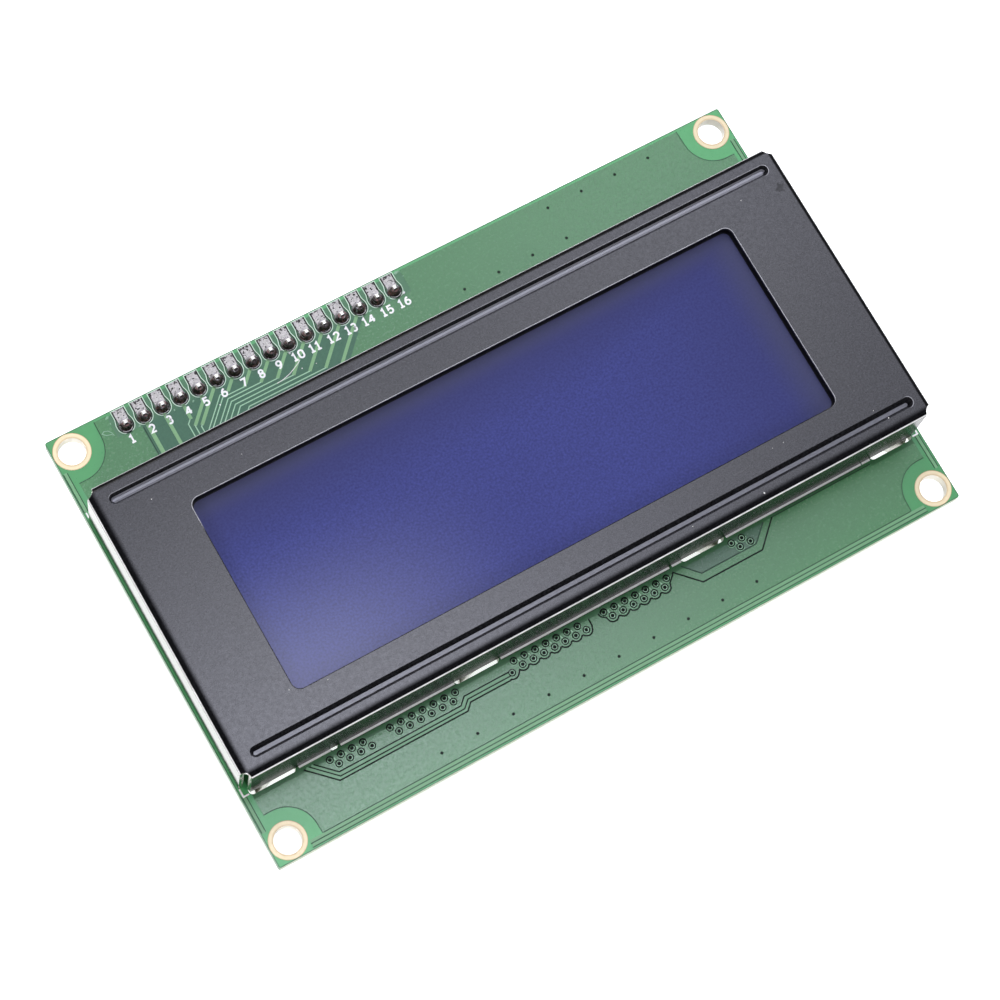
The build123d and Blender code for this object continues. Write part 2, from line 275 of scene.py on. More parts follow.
def make_solder_mask():
    """Bare laminate under green mask: bright at the rim, deep green round the header and the frame, with
    painted shade at the frame's foot and toward two corners.
    """
    s = Surface("solder_mask")
    x, y, z = s.axes()
    to_edge = s.least(s.minus(board_x, s.absolute(x)), s.minus(board_y, s.absolute(y)))
    rim = s.ramp(to_edge, 2.6, 0.4)
    corner = s.ramp(s.hole_distance(x, y), 6.5, 4.5)
    bright = s.grain(0.7, (76, 168, 98), (88, 180, 112))
    # Darker toward the lower right and upper left corners: painted shade.
    corner_shade = s.ramp(s.absolute(s.minus(x, y)), 40, 76)
    bright = s.mix(s.times(corner_shade, 0.8), bright, (62, 146, 82))
    plain = s.grain(0.5, (70, 140, 98), (80, 152, 108))
    colour = s.mix(s.most(rim, corner), plain, bright)

    # Zones of the front face: round the pads, beside the traces of the header, and at the foot of the frame,
    # where the bare laminate's deep green is partly painted shade
    front_face = s.ramp(z, -0.9, -0.7)
    zones = []
    for x_range, y_range, size, first, second in (
            ((-41, 1, 0.1), (25, 29.5, 0.12), 0.4, (54, 112, 72), (66, 126, 84)),
            ((-37.5, -6, 0.3), (18, 26.6, 0.6), 0.4, (38, 94, 66), (54, 112, 80)),
            ((-pour_x, pour_x, 0.1), (-21.4, -18, 0.1), 0.5, (32, 92, 46), (46, 110, 58))):
        zones.append(s.times(s.between(x, *x_range), s.between(y, *y_range), front_face))
        colour = s.mix(zones[-1], colour, s.grain(size, first, second))
    _, header_zone, front_zone = zones
    colour = s.mix(s.ramp(to_edge, 0.16, 0.08), colour, (46, 112, 64))

    rim_wall = s.ramp(to_edge, 0.12, 0.06)
    slot_wall = s.between(s.absolute(s.minus(y, bezel_mid_y)), 19.0, 20.6, 0.05)
    laminate = s.grain(0.25, (150, 176, 140), (196, 208, 176), detail=4, stretch=(1, 1, 6))
    # The board's left edge face gets a darker laminate: painted shade.
    shaded_left_laminate = s.grain(0.3, (80, 132, 90), (104, 154, 110), stretch=(1, 1, 6))
    laminate = s.mix(s.ramp(x, -48.8, -48.9), laminate, shaded_left_laminate)
    wall = s.mix(s.most(rim_wall, slot_wall), (30, 40, 30), laminate)
    s.set("Base Color", s.mix(s.side_faces(), colour, wall))
    # Less shine round the header and at the frame's foot; at the frame's foot this is painted shade.
    s.set("Specular IOR Level", s.minus(0.5, s.times(s.most(header_zone, front_zone), 0.1)))
    s.set("Roughness", s.spread(s.noise(0.3), 0.27, 0.38))
    s.bump(s.noise(0.18), 0.25, 0.012)
    return s.material


def make_copper_mask():
    """Green mask over a copper area: greyer, with the faint cloudiness of dip coating."""
    s = Surface("mask_over_copper")
    x, y, _ = s.axes()
    cloud = s.grain(6, (64, 126, 74), (74, 136, 82), detail=2)
    colour = s.mix(0.4, cloud, s.speckle(0.28, (54, 114, 64), (82, 146, 92)))
    half_width = s.absolute(s.minus(x, 18.75))
    slant = s.minus(half_width, s.plus(y, 22.95))
    patch = s.times(s.ramp(slant, 4.1, 4.0), s.between(y, -22.95, -18, 0.05), 0.7)
    s.set("Base Color", s.mix(patch, colour, (52, 92, 70)))
    s.set("Roughness", s.spread(s.noise(0.4), 0.2, 0.3))
    s.bump(s.noise(0.16, 2), 0.3, 0.012)
    return s.material


def make_trace_mask(name, low, high, **fixed):
    """Mask over a narrow trace or in a narrow gap."""
    s = Surface(name, **fixed)
    s.set("Base Color", s.grain(0.3, low, high))
    s.set("Roughness", s.spread(s.noise(0.3, 2), 0.3, 0.4))
    return s.material


def make_white_print():
    """White board print, a little thin in places."""
    s = Surface("white_print", Roughness=0.3, Specular_IOR_Level=0.9)
    s.set("Base Color", s.mix(s.ramp(s.noise(0.12), 0.62, 0.8), (255, 255, 255), (206, 222, 208)))
    s.bump(s.noise(0.1, 2), 0.2, 0.008)
    return s.material


def make_ring_plating():
    """Pale gold plating, tan at the ring's two edges, and near white on the hole's wall as painted light."""
    s = Surface("ring_plating", Metallic=0.1)
    x, y, _ = s.axes()
    radius = s.hole_distance(x, y)
    cream = s.grain(0.5, (243, 228, 192), (234, 216, 174))
    tan = s.grain(0.3, (204, 172, 122), (186, 152, 104))
    inner = s.times(s.ramp(radius, 2.02, 1.8), 0.55)
    outer = s.ramp(radius, 2.3, 2.36)
    face = s.mix(s.most(inner, outer), cream, tan)
    # The hole's upright wall is set near white, lighter than the plating: painted light.
    s.set("Base Color", s.mix(s.side_faces(), face, (255, 250, 240)))
    s.set("Roughness", s.spread(s.noise(0.25), 0.3, 0.48))
    s.bump(s.noise(0.2, 2), 0.25, 0.01)
    return s.material


def make_black_paint():
    """Satin black paint on sheet metal, bare at the sheared corner reliefs and on the tabs."""
    s = Surface("black_paint", Coat_Roughness=0.06)
    x, y, z = s.axes()
    top = bezel_high.z
    from_mid = s.absolute(s.minus(y, bezel_mid_y))
    side_x = s.minus(bezel_x, s.absolute(x))
    side_y = s.minus(bezel_width / 2, from_mid)
    cut = s.ramp(s.reach(side_x, side_y), 1.1, 1.06)
    tab = s.ramp(z, 0.1, -0.05)
    bare = s.most(cut, tab)
    metal = s.grain(0.2, (214, 212, 206), (168, 166, 160), stretch=(1, 1, 0.2))
    paint = s.speckle(0.28, (14, 14, 16), (44, 44, 48))
    scuff = s.ramp(s.noise(2.2, 5, stretch=(0.35, 2.2, 1), distortion=0.6), 0.66, 0.76)
    paint = s.mix(s.times(scuff, 0.25), paint, (70, 68, 70))

    # Folds and walls: painted highlight lines along the folds, and painted shade along the face's near and
    # far edges
    outside = s.ramp(s.least(side_x, side_y), 0.36, 0.26)
    fold = s.times(s.between(z, top - 0.62, top - 0.31, 0.03), outside)
    upright = s.times(s.ramp(z, top - 0.6, top - 0.75), outside)
    near = s.least(s.plus(x, bezel_x), s.minus(y, bezel_front))
    far = s.least(s.minus(bezel_x, x), s.minus(bezel_rear, y))
    inside = s.least(s.ramp(near, 0.6, 1.3), s.ramp(far, 0.5, 0.75))
    # Near-black bands along the folds, inside the face's near and far edges: painted shade.
    fold_shade = s.times(s.minus(1.0, inside), s.ramp(z, top - 0.75, top - 0.6))
    front_wall = s.times(upright, s.ramp(y, bezel_front + 0.9, bezel_front + 0.8))
    # Less reflection at the front wall's foot: painted shade.
    foot_shade = s.times(s.ramp(z, 2.6, 0.9), front_wall)
    left_side = s.times(upright, s.ramp(x, -45, -47))

    # Rims of the window and the grooves: light on the lit side as painted highlight, near black on the other
    # side as painted shade
    on_top = s.ramp(z, top - 0.06, top - 0.03)
    from_window = s.rounded_distance(x, y, (window_mid_x, window_mid_y), window_length, window_width,
                                     window_radius)
    rim_band = s.between(from_window, 0.0, 0.09, 0.02)
    lit_side = s.ramp(s.plus(s.times(x, 0.3), y), -3, -1)
    window_rim = s.times(rim_band, lit_side)
    shaded_rim = s.times(rim_band, s.minus(1.0, lit_side), on_top)
    from_groove = s.rounded_distance(x, from_mid, (groove_mid_x, groove_y), groove_length, groove_width,
                                     groove_width / 2)
    groove_rim = s.between(from_groove, 0.02, 0.11, 0.02)
    # The grooves' right ends and the rear groove get a brighter rim: painted highlight.
    rim_highlight_level = s.most(s.times(s.ramp(x, 46.0, 46.8), 0.8), s.times(s.ramp(y, 17.6, 17.8), 0.4))
    rims = s.times(s.most(window_rim, s.times(groove_rim, rim_highlight_level)), on_top)
    painted_highlights = s.times(s.most(fold, rims), s.spread(s.noise(1.5, 4), 0.7, 1.0))

    # Floors and walls of the grooves: the floors light grey as painted reflection, and the rear groove's lit
    # foot near white as painted light
    sunk = s.times(s.ramp(z, top - 0.05, top - 0.12), s.ramp(from_groove, 0.05, 0.0))
    rise = s.minus(from_mid, groove_y)
    lit_foot = s.times(s.between(rise, 0.0, 0.56, 0.03), s.ramp(from_groove, -0.25, -0.29), s.ramp(y, -1, 1))
    floor = s.most(s.ramp(from_groove, -0.42, -0.5), lit_foot)
    groove_wall = s.times(sunk, s.minus(1.0, floor))
    floor_sheen = s.grain(0.12, (86, 86, 92), (140, 140, 148), detail=2, stretch=(0.2, 1, 1))

    # Light grey groove floors and a near-white lit foot: painted reflection and painted light.
    paint = s.mix(s.times(sunk, floor), paint, floor_sheen)
    paint = s.mix(s.times(sunk, lit_foot), paint, (168, 168, 176))
    paint = s.mix(shaded_rim, paint, (8, 8, 10))
    paint = s.mix(s.times(fold_shade, 0.7), paint, (5, 5, 7))
    # Fold lines near white and rims light grey: painted highlights.
    paint = s.mix(painted_highlights, paint, s.mix(fold, (172, 172, 178), (250, 250, 252)))
    s.set("Base Color", s.mix(bare, paint, metal))
    s.set("Metallic", bare)
    # Less reflection on the groove walls, the fold bands, the window's shaded rim and the front wall's foot:
    # painted shade.
    shade_dulling = s.most(groove_wall, fold_shade, shaded_rim, foot_shade)
    s.set("Specular IOR Level", s.minus(0.5, s.times(shade_dulling, 0.46)))
    s.set("Coat Weight", s.times(left_side, s.ramp(z, 2.6, 4.4), 0.62))

    smudge_reach = s.plus(s.reach(s.minus(x, 47.0), s.minus(y, 14.3)), s.times(s.noise(0.4), 1.5))
    smudge = s.times(s.ramp(smudge_reach, 1.4, 1.1), 0.65)
    rough = s.plus(s.spread(s.noise(0.5, 4), 0.2, 0.28), s.times(scuff, 0.05), s.times(smudge, 0.35))
    s.set("Roughness", s.minus(rough, s.times(left_side, 0.14)))
    s.bump(s.times(s.noise(0.16, 2), s.minus(1.0, s.times(upright, 0.8))), 0.3, 0.012)
    return s.material


def make_display_film():
    """Matte blue polarising film over the display."""
    s = Surface("display_film")
    x, y, _ = s.axes()
    cloud = s.grain(14, (44, 48, 112), (54, 62, 134), detail=2)
    colour = s.mix(0.35, s.speckle(0.28, (34, 40, 102), (60, 68, 142)), cloud)
    # Darker toward the top and the right, and greyer near the top and right edges: painted shade.
    film_shade = s.most(s.ramp(y, 2, 13), s.times(s.ramp(x, 10, 38), 0.7))
    colour = s.mix(s.times(film_shade, 0.8), colour, (41, 43, 92))
    edge_grey_shade = s.most(s.ramp(y, 9.5, 13), s.ramp(x, 32.5, 38.3))
    s.set("Base Color", s.mix(s.times(edge_grey_shade, 0.55), colour, (66, 68, 86)))
    s.set("Roughness", s.spread(s.noise(0.2, 2), 0.38, 0.46))
    # More shine toward the lower left, where the soft box is mirrored: painted sheen.
    placed_sheen = s.times(s.ramp(x, -2, -38), s.ramp(y, 6, -13))
    s.set("Specular IOR Level", s.plus(s.times(placed_sheen, 0.65), 0.18))
    s.bump(s.noise(0.12, 2), 0.3, 0.008)
    return s.material


def make_plain(name, low, high, grain, rough_low, rough_high, bump=0.15, bump_height=0.02, **fixed):
    """A surface of two near tones with a grain of the given size."""
    s = Surface(name, **fixed)
    s.set("Base Color", s.grain(grain, low, high))
    s.set("Roughness", s.spread(s.noise(grain * 0.7), rough_low, rough_high))
    s.bump(s.noise(grain * 0.5, 2), bump, bump_height)
    return s.material


def make_solder():
    """Solder in dark brown, partly a skin of flux and partly painted shade for the dark surroundings it
    mirrors, with brown and grey patches and a tinned outer end.
    """
    s = Surface("solder", Metallic=0.4)
    _, y, _ = s.axes()
    # Dark brown base: part flux, part painted shade.
    flux_and_shade = s.grain(0.35, (34, 27, 26), (60, 46, 44))
    brown = s.ramp(s.noise(0.7, distortion=0.8), 0.52, 0.6)
    colour = s.mix(brown, flux_and_shade, (118, 84, 80))
    toward_edge = s.plus(y, s.times(s.noise(0.4), 0.5))
    tinned = s.ramp(toward_edge, pin_row_y + 0.4, pin_row_y + 0.6)
    grey = s.most(tinned, s.ramp(s.noise(0.5, 4, distortion=1.2), 0.6, 0.66))
    s.set("Base Color", s.mix(grey, colour, (168, 164, 168)))
    s.set("Roughness", s.spread(s.noise(0.25), 0.22, 0.4))
    s.bump(s.noise(0.45), 0.6, 0.06)
    return s.material


def make_tinned_copper():
    """Tinned pads: rough grey tin with dark specks of flux, most of them at the outer ends, and darker along
    the long sides as painted shade.
    """
    s = Surface("tinned_copper", Metallic=0.12)
    x, y, _ = s.axes()
    metal = s.speckle(0.3, (160, 157, 156), (222, 219, 218), detail=4)
    end = s.ramp(y, pad_end_y - 0.55, pad_end_y - 0.15)
    speck = s.ramp(s.plus(s.noise(0.3, distortion=0.5), s.times(end, 0.09)), 0.585, 0.61)
    # Darker toward each pad's long sides: painted shade.
    from_pin = s.math("PINGPONG", s.minus(x, pin_places[0].x), pin_pitch / 2)
    side = s.ramp(s.plus(from_pin, s.times(s.noise(0.3), 0.12)), 0.7, 0.77)
    s.set("Base Color", s.mix(s.most(speck, side), metal, (34, 28, 27)))
    s.set("Roughness", s.spread(s.noise(0.3), 0.32, 0.55))
    s.bump(s.noise(0.4), 0.6, 0.05)
    return s.material


def make_chip_part(name, body_low, body_high):
    """A chip part whose two ends are tinned. The parts stand at whole steps of 4 mm."""
    s = Surface(name, Roughness=0.3)
    x, _, _ = s.axes()
    from_centre = s.math("PINGPONG", s.plus(x, 54), 2)
    end = s.ramp(from_centre, 0.63, 0.67)
    body = s.grain(0.3, body_low, body_high)
    tin = s.grain(0.2, (190, 188, 184), (220, 218, 214))
    s.set("Base Color", s.mix(end, body, tin))
    s.set("Metallic", s.times(end, 0.9))
    s.bump(s.noise(0.2, 2), 0.2, 0.02)
    return s.material


# Plain slots of the record: two tones, grain size, roughness from and to, and what else differs
plain_slots = {
    "glass": ((214, 228, 226), (224, 236, 234), 8, 0.04, 0.08, {"Transmission_Weight": 0.7}),
    "elastomer": ((120, 120, 124), (136, 136, 140), 0.4, 0.6, 0.75, {}),
    "white_plastic": ((226, 226, 220), (236, 236, 232), 0.6, 0.4, 0.55, {}),
    "white_film": ((234, 234, 232), (242, 242, 240), 0.4, 0.5, 0.6, {}),
    "clear_acrylic": ((228, 236, 240), (236, 243, 246), 6, 0.05, 0.1, {"Transmission_Weight": 0.6}),
    "led_board_white": ((220, 222, 212), (230, 232, 224), 0.5, 0.45, 0.6, {}),
    "led_package": ((240, 226, 140), (250, 238, 168), 0.3, 0.25, 0.4, {}),
    "tinned_metal": ((206, 203, 196), (228, 226, 220), 0.3, 0.14, 0.26, {"Metallic": 1.0}),
    "black_plastic": ((28, 28, 29), (38, 38, 39), 0.3, 0.45, 0.6, {"bump": 0.3}),
    "chip_epoxy": ((18, 18, 19), (27, 27, 28), 1.6, 0.28, 0.42, {"bump": 0.2, "bump_height": 0.05}),
}
finishes = {name: make_plain(name, *looks, **other) for name, (*looks, other) in plain_slots.items()}
finishes |= {
    "solder_mask": make_solder_mask(),
    "ring_plating": make_ring_plating(),
    "black_paint": make_black_paint(),
    "display_film": make_display_film(),
    "solder": make_solder(),
    "tinned_copper": make_tinned_copper(),
    "resistor_ceramic": make_chip_part("resistor_ceramic", (24, 24, 26), (34, 34, 36)),
    "capacitor_ceramic": make_chip_part("capacitor_ceramic", (166, 132, 92), (184, 150, 108)),
}
for subpart in record["subparts"]:
    for material_slot in nodes[subpart["node"]].material_slots:
        material_slot.material = finishes[subpart["material_slot"]]


# Building pieces

merge_distance = 0.0005


def piece_from_form(name, form, material):
    """Turns a bmesh form into a piece that rides on the module, with its faces turned outwards."""
    bmesh.ops.recalc_face_normals(form, faces=form.faces)
    mesh = bpy.data.meshes.new(name)
    form.to_mesh(mesh)
    form.free()
    mesh.transform(Matrix.Scale(MM, 4))
    mesh.materials.append(material)
    piece = bpy.data.objects.new(name, mesh)
    bpy.context.scene.collection.objects.link(piece)
    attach(piece, "root")


def close_loops(form, first, second):
    """Joins two equal rings of corners with a band of faces."""
    for k, corner in enumerate(first):
        j = (k + 1) % len(first)
        form.faces.new((corner, first[j], second[j], second[k]))


def ribbon(form, points, width, low, high, closed=False):
    """Adds a flat strip along a line of points, with mitred corners and square ends."""
    line = [Vector(p) for p in points]
    last = len(line) - 1
    rings = []
    for i, point in enumerate(line):
        before = point - line[i - 1] if i > 0 or closed else None
        after = line[(i + 1) % len(line)] - point if i < last or closed else None
        before = (before or after).normalized()
        after = (after or before).normalized()
        across = Vector((-before.y - after.y, before.x + after.x)).normalized()
        reach = width / 2 / max(0.5, across.dot(Vector((-after.y, after.x))))
        left = point + across * reach
        right = point - across * reach
        corners = ((*left, low), (*right, low), (*right, high), (*left, high))
        rings.append([form.verts.new(c) for c in corners])
    joined = list(zip(rings, rings[1:]))
    if closed:
        joined.append((rings[-1], rings[0]))
    for first, second in joined:
        close_loops(form, first, second)
    if not closed:
        form.faces.new(rings[0])
        form.faces.new(rings[-1])


def arc(centre, radius, start, end, steps=12):
    """Points on an arc from one angle to another, in degrees."""
    points = []
    for i in range(steps + 1):
        angle = math.radians(start + (end - start) * i / steps)
        points.append((centre[0] + radius * math.cos(angle), centre[1] + radius * math.sin(angle)))
    return points


def circle(centre, radius, steps=24):
    return arc(centre, radius, 0, 360, steps)[:-1]


def slab(name, loops, low, high, material):
    """A flat sheet in the shape of the first loop, with the other loops cut out of it."""
    curve = bpy.data.curves.new(name, "CURVE")
    curve.dimensions = "2D"
    curve.fill_mode = "BOTH"
    curve.extrude = (high - low) / 2
    for loop in loops:
        spline = curve.splines.new("POLY")
        spline.points.add(len(loop) - 1)
        for point, place in zip(spline.points, loop):
            point.co = (place[0], place[1], 0, 1)
        spline.use_cyclic_u = True
    holder = bpy.data.objects.new(name, curve)
    mesh = bpy.data.meshes.new_from_object(holder)
    bpy.data.objects.remove(holder)
    mesh.transform(Matrix.Translation((0, 0, (low + high) / 2)))
    form = bmesh.new()
    form.from_mesh(mesh)
    bmesh.ops.remove_doubles(form, verts=form.verts, dist=merge_distance)
    piece_from_form(name, form, material)


# Copper areas under the mask, as sheets with a round gap cut out at each through hole

copper_mask = make_copper_mask()
trace_mask = make_trace_mask("mask_over_trace", (112, 166, 108), (132, 184, 128))
thin_trace_mask = make_trace_mask("mask_over_thin_trace", (146, 196, 158), (170, 216, 180))
edge_mask = make_trace_mask("mask_over_edge_trace", (100, 158, 108), (116, 172, 122))
front_trace_mask = make_trace_mask("mask_over_front_trace", (104, 160, 116), (120, 174, 130))
opening_mask = make_trace_mask("mask_round_pads", (190, 224, 198), (216, 240, 220))
gap_mask = make_trace_mask("mask_in_gap", (3, 12, 7), (8, 22, 13), Specular_IOR_Level=0.06)
wide_gap_mask = make_trace_mask("mask_in_wide_gap", (24, 60, 38), (36, 74, 50), Specular_IOR_Level=0.2)

# Radii at the mounting holes, the through holes and the small stitching holes of the copper areas
corner_gap = 4.05
via_gap = 0.42
ring_radius = 0.29
halo_radius = 0.56
plug_radius = 0.235
stitch_radius = 0.2
stitch_pitch = 5.03
hole_steps = 16
plug_steps = 12
tuck = 0.01  # how far a raised line reaches into the layer under it


def corner_line(sx, sy, end_y):
    """The copper's edge round a mounting hole, from the board's end towards its middle."""
    middle_x, middle_y = sx * hole_x, sy * hole_y
    finish = -180 * sy if sx > 0 else 0
    return ([(sx * pour_x, middle_y - sy * corner_gap)]
            + arc((middle_x, middle_y), corner_gap, -90 * sy, finish, 10)
            + [(middle_x - sx * (corner_gap + 0.05), end_y)])


top_left = corner_line(-1, 1, pour_top)
top_right = corner_line(1, 1, pour_top)
bottom_left = corner_line(-1, -1, pour_bottom)
bottom_right = corner_line(1, -1, pour_bottom)

header_left = -40.7
header_ground_left = -37.45
header_right = 0.95
header_low = 26.45
slab("copper_area_upper_left",
     [[(-pour_x, bezel_rear)] + top_left + [(header_left, pour_top), (header_left, header_low),
      (header_ground_left, header_low), (header_ground_left, bezel_rear)]],
     0, copper_top, copper_mask)

stitch_upper = [(22.1 + i * stitch_pitch, 28.2) for i in range(4)]
stitch_middle = [(7.05 + i * stitch_pitch, 23.5) for i in range(4)]
stitch_lower = [(-25.1 + i * stitch_pitch, -27.15) for i in range(10)]
stitches = stitch_upper + stitch_middle + stitch_lower
slab("copper_area_upper_right",
     [[(-12.5, bezel_rear), (-6.05, header_low), (header_right, header_low), (header_right, pour_top)]
      + list(reversed(top_right)) + [(pour_x, bezel_rear)]]
     + [circle(p, stitch_radius, hole_steps) for p in stitch_upper + stitch_middle],
     0, copper_top, copper_mask)

front_edge = bezel_front - 0.68
slot_edge = bezel_front - 1.0
line_y = bezel_front - 0.13
loops = [[(-pour_x, slot_edge)] + bottom_left + list(reversed(bottom_right))
         + [(pour_x, slot_edge), (41.3, slot_edge), (41.0, front_edge), (19.8, front_edge),
            (19.4, slot_edge)]]
ringed = [lone_via]
for group in range(len(via_groups)):
    ringed += upper_vias(group) + lower_vias(group)
loops += [circle(p, via_gap) for p in ringed]
loops += [circle(p, stitch_radius, hole_steps) for p in stitch_lower]
slab("copper_area_lower", loops, 0, copper_top, copper_mask)

# Rings of the through holes, and short links between neighbours

form = bmesh.new()
for place in ringed:
    ribbon(form, circle(place, ring_radius, 20), 0.09, 0, copper_top, closed=True)
for group in range(len(via_groups)):
    for x, y in upper_vias(group)[:-1]:
        ribbon(form, [(x + halo_radius, y - 0.02), (x + 0.66, y - 0.42)], 0.17, 0, line_top)
piece_from_form("via_rings", form, thin_trace_mask)

# Light arcs on one side of each ring: painted highlights

form = bmesh.new()
for group in range(len(via_groups)):
    for place in upper_vias(group):
        line = arc(place, halo_radius, 185, 355, 10)
        ribbon(form, line, 0.11, copper_top - tuck, copper_top + 0.003)
    for place in lower_vias(group):
        line = arc(place, halo_radius + 0.01, 150, 330, 10)
        ribbon(form, line, 0.11, copper_top - tuck, copper_top + 0.002)
piece_from_form("via_highlight_arcs", form, front_trace_mask)

# Dark mask that runs round the rings and tents the small holes

form = bmesh.new()
for place in ringed:
    ribbon(form, circle(place, 0.41, 24), 0.15, copper_top - 0.02, line_top, closed=True)
for place in ringed + stitches:
    rims = [[form.verts.new((*p, z)) for p in circle(place, plug_radius, plug_steps)] for z in (0.001, 0.02)]
    form.faces.new(rims[0])
    form.faces.new(rims[1])
    close_loops(form, *rims)
piece_from_form("via_plugs", form, gap_mask)

# Gaps between copper areas, as dark lines

gap_width = 0.16
front_lines = [[(-39.4, -20.95), (-37.1, -23.2), (-20.17, -23.2), (-19.25, -22.34), (-12.98, -22.34)],
               [(-40.0, -20.95), (-37.2, -23.73), (-19.95, -23.73), (-19.0, -22.88), (-13.0, -22.88)],
               [(-40.75, -20.95), (-37.5, -24.17), (-19.75, -24.17), (-18.9, -23.35), (-13.2, -23.35)]]
form = bmesh.new()


def gap_line(points, width=gap_width):
    ribbon(form, points, width, copper_top - tuck, line_top)


gap_line(front_lines[0])
gap_line(front_lines[1])
scallops = []
for group in scalloped_groups:
    scallop = []
    for centre in lower_vias(group):
        scallop += arc(centre, 0.78, 212, 328, 6)
    scallops.append(scallop)
first_scallop, last_scallop = scallops
left_x = last_scallop[0][0]
right_x = last_scallop[-1][0]
gap_line(front_lines[2] + arc(lone_via, 0.86, 232, 318, 6) + first_scallop
         + [(first_scallop[-1][0] + 0.22, -22.15), (first_scallop[-1][0] + 0.25, slot_edge)], 0.19)
gap_line([(left_x - 0.85, slot_edge), (left_x - 0.72, -21.75), (left_x - 0.2, -22.1)] + last_scallop
         + [(right_x + 0.2, -22.1), (11.25, -21.4), (11.45, -21.15), (14.2, -24.0), (22.95, -24.0),
            (26.2, -20.93)], 0.19)
piece_from_form("copper_gaps", form, gap_mask)

form = bmesh.new()
gap_line([(12.75, -20.95), (14.6, -22.95), (22.65, -22.95), (24.9, -20.95)])
gap_line([(26.2, -20.93), (41.0, -20.93)], 0.12)
for start, end in ((26.6, 39.9), (-36.7, -19.4), (-12.9, 11.3)):
    gap_line([(start, line_y - 0.19), (end, line_y - 0.19)], 0.1)
for y in (-28.7, -29.2, -29.7):
    reach = 42.3 if y > -29 else 44.3
    gap_line([(-reach, y), (reach, y)], 0.11)
for sx in (-1, 1):
    for x in ((48.3, 48.8) if sx < 0 else (48.15, 48.65)):
        for sy in (-1, 1):
            gap_line([(sx * x, sy * 25.3), (sx * x, (bezel_rear if sy > 0 else bezel_front))], 0.1)
for line in (top_left, top_right, bottom_left, bottom_right):
    gap_line(line, 0.1)
gap_line([(-37.3, bezel_rear), (-37.3, 26.2)], 0.12)
piece_from_form("copper_edges", form, wide_gap_mask)

# Strips of copper along the board's edges and between the front lines, and the header's traces

form = bmesh.new()
for y in (-28.95, -29.45):
    ribbon(form, [(-44.2, y), (44.2, y)], 0.36, 0, copper_top)
for sx in (-1, 1):
    for sy in (-1, 1):
        y = bezel_rear if sy > 0 else bezel_front
        x = -48.55 if sx < 0 else 48.4
        ribbon(form, [(x, sy * 25.4), (x, y)], 0.38, 0, copper_top)
piece_from_form("edge_traces", form, edge_mask)

form = bmesh.new()
for outer, inner in zip(front_lines, front_lines[1:]):
    middle = [((a[0] + b[0]) / 2, (a[1] + b[1]) / 2) for a, b in zip(outer, inner)]
    ribbon(form, middle, 0.36, copper_top - tuck, copper_top + 0.004)
piece_from_form("front_traces", form, front_trace_mask)

form = bmesh.new()
pads = [p.x for p in pin_places]
trace_width = 0.42
thin_width = 0.13
ribbon(form, [(-36.67, bezel_rear), (-36.67, 26.7)], 0.52, 0, copper_top)
ribbon(form, [(-34.22, bezel_rear), (-34.22, 26.7)], 0.45, 0, copper_top)
ribbon(form, [(-31.62, 24.4), (-31.62, 26.7)], trace_width, 0, copper_top)
ribbon(form, [(-31.6, 23.4), (-29.3, 25.7), (-29.0, 26.7)], trace_width, 0, copper_top)
data_heights = (25.5, 25.05, 24.6, 24.1, 23.55, 23.05, 22.5, 22.0)
for x, y in zip(pads[5:14], (23.1,) + data_heights):
    ribbon(form, [(x - (pin_row_y - y), y), (x - 0.7, pin_row_y - 0.7)], trace_width, 0, copper_top)
piece_from_form("header_traces_wide", form, trace_mask)

form = bmesh.new()
ribbon(form, [(-32.25, bezel_rear), (-32.25, 23.95), (-31.75, 24.45)], thin_width, 0, copper_top)
ribbon(form, [(-31.6, bezel_rear), (-31.6, 23.5)], thin_width, 0, copper_top)
ribbon(form, [(-30.95, bezel_rear), (-30.95, 22.95), (-30.7, 23.2)], thin_width, 0, copper_top)
bends = (-27.0, -26.85, -26.35, -26.15, -25.88, -25.45, -24.5)
for x, y, bend in zip(pads[6:13], data_heights, bends):
    drop = y - bezel_rear
    ribbon(form, [(x - (pin_row_y - y), y), (bend, y), (bend - drop, bezel_rear)], thin_width, 0, copper_top)
piece_from_form("header_traces_thin", form, thin_trace_mask)

# Mask openings round the header's pads


def pad_outline(place, radius, neck):
    """A line round a pad: up one side of its neck, round its round end and down again."""
    x, y = place
    top = pad_end_y + 0.07
    line = [(x - neck, top), (x - neck, y + 1.1), (x - radius, y + 0.35)]
    line += arc((x, y), radius, 180, 360, 14)
    line += [(x + radius, y + 0.35), (x + neck, y + 1.1), (x + neck, top)]
    return line


form = bmesh.new()
dark_form = bmesh.new()
for place in pin_places:
    ribbon(form, pad_outline(place, 1.13, 0.92), 0.11, 0, copper_top, closed=True)
    ribbon(dark_form, pad_outline(place, 1.01, 0.82), 0.12, 0, 0.02)
piece_from_form("pad_openings", form, opening_mask)
piece_from_form("pad_gaps", dark_form, gap_mask)

# White print: the frame's outline and the pin numbers

white_print = make_white_print()
form = bmesh.new()
line_x = bezel_x - 0.08
for start, end in ((-41.1, -36.75), (-35.35, -19.5), (-12.95, 11.35), (11.75, 13.1), (19.7, 39.95),
                   (40.1, 41.3)):
    ribbon(form, [(start, line_y), (end, line_y)], 0.26, 0, print_top)
ribbon(form, [(-47.85, line_y), (-line_x, line_y), (-line_x, -19.3)], 0.22, 0, print_top)
ribbon(form, [(47.85, line_y), (line_x, line_y), (line_x, -19.3)], 0.22, 0, print_top)
ribbon(form, [(-line_x, 19.0), (-line_x, bezel_rear - 0.1)], 0.2, 0, print_top)
piece_from_form("printed_outline", form, white_print)

